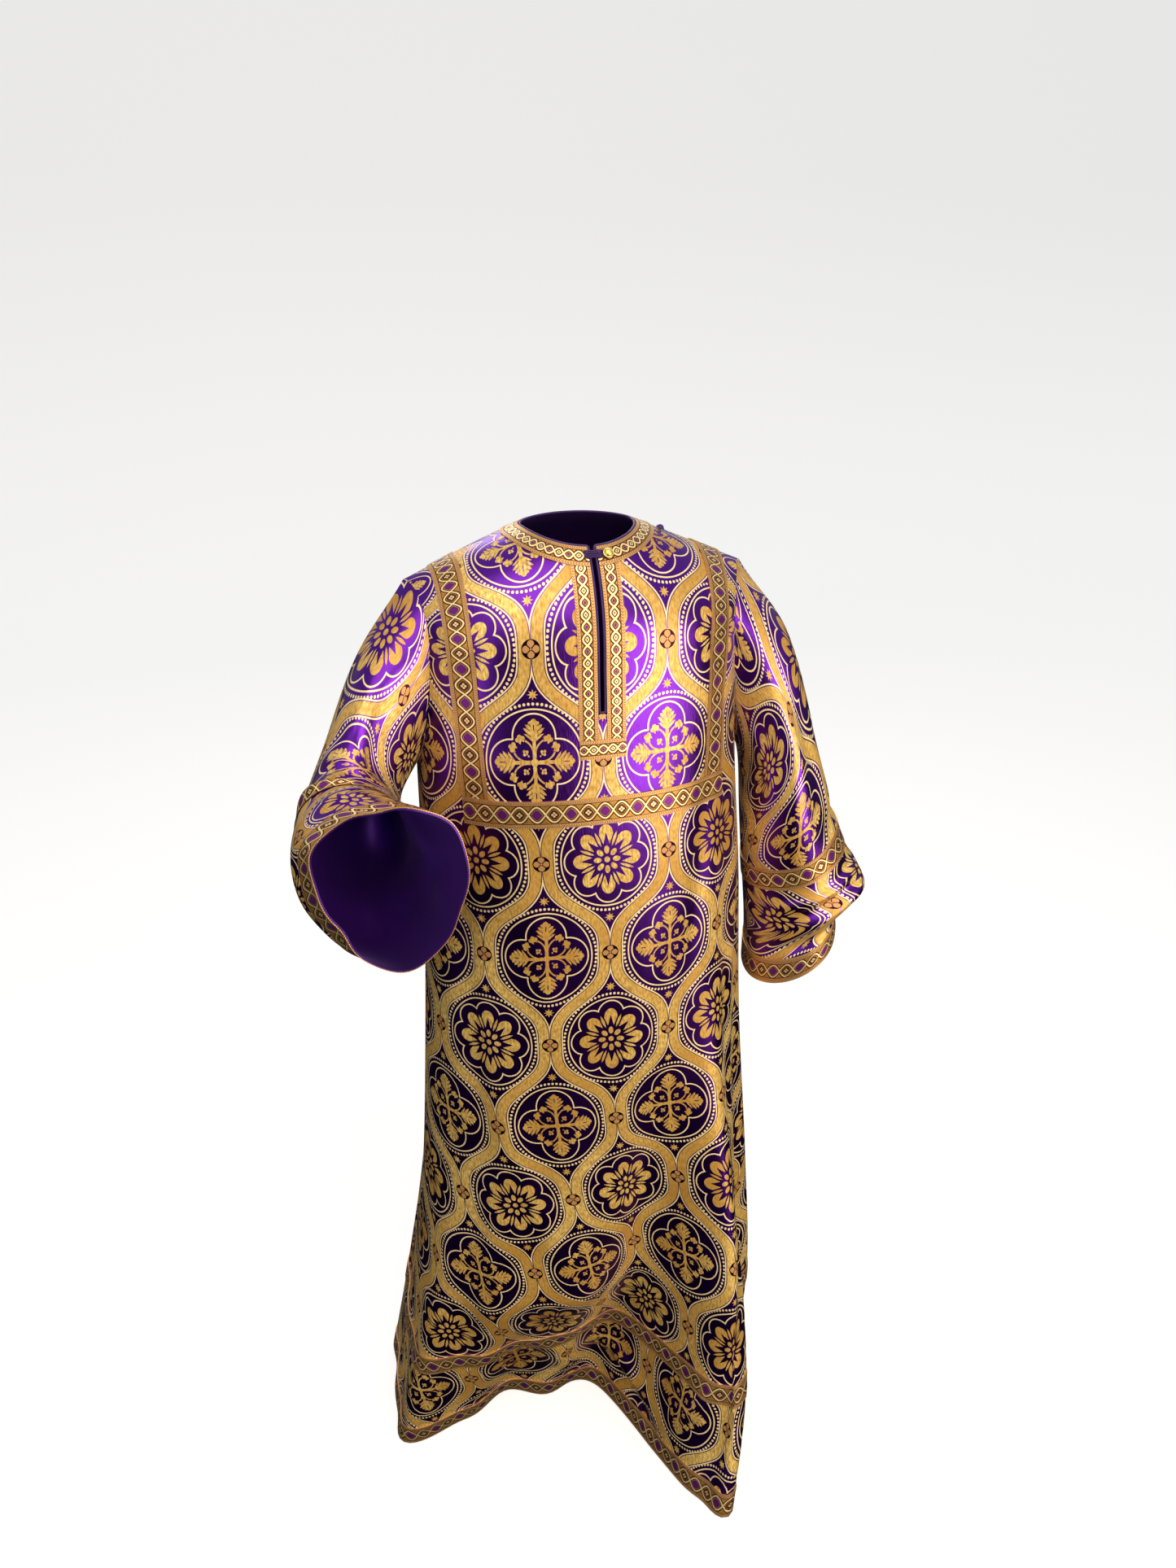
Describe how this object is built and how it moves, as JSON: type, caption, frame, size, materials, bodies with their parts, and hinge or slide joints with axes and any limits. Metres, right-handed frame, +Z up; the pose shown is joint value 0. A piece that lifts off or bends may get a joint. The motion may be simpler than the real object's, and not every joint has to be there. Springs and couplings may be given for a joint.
{
  "type": "dalmatic in a worn pose",
  "caption": "Deacon's dalmatic of violet and gold brocade, worn pose, open front neck slit, one sleeve hanging and one raised, banded with gold galloon.",
  "frame": {"origin": "middle of the shoulder line, where the wearer's shoulders carry the garment", "axes": "+Z up, the front faces -Y, the wearer's left is +X"},
  "size_m": [0.6976, 0.494, 1.3307],
  "materials": {
    "brocade": "violet satin ground with woven gold medallions",
    "narrow_galloon": "woven gold and violet braid, 21 mm wide",
    "wide_galloon": "woven gold and violet braid, 32 mm wide",
    "binding": "dark violet satin",
    "brass": "polished"
  },
  "bodies": {
    "root": {"front_panel": "brocade", "back_panel": "brocade", "sleeve_left": "brocade", "sleeve_right": "brocade", "neck_band_front_left": "narrow_galloon", "neck_band_front_right": "narrow_galloon", "neck_band_back": "narrow_galloon", "slit_band_left": "narrow_galloon", "slit_band_right": "narrow_galloon", "slit_band_foot": "narrow_galloon", "yoke_band_front_left": "wide_galloon", "yoke_band_front_right": "wide_galloon", "yoke_band_back_left": "wide_galloon", "yoke_band_back_right": "wide_galloon", "chest_band_front": "wide_galloon", "chest_band_back": "wide_galloon", "skirt_band_front": "wide_galloon", "skirt_band_back": "wide_galloon", "hem_band_front": "wide_galloon", "hem_band_back": "wide_galloon", "sleeve_band_left": "wide_galloon", "sleeve_band_right": "wide_galloon", "sleeve_edge_left": "wide_galloon", "sleeve_edge_right": "wide_galloon", "neck_piping": "binding", "button_loop": "binding", "shoulder_button": "binding", "neck_button": "brass"}
  },
  "joints": []
}
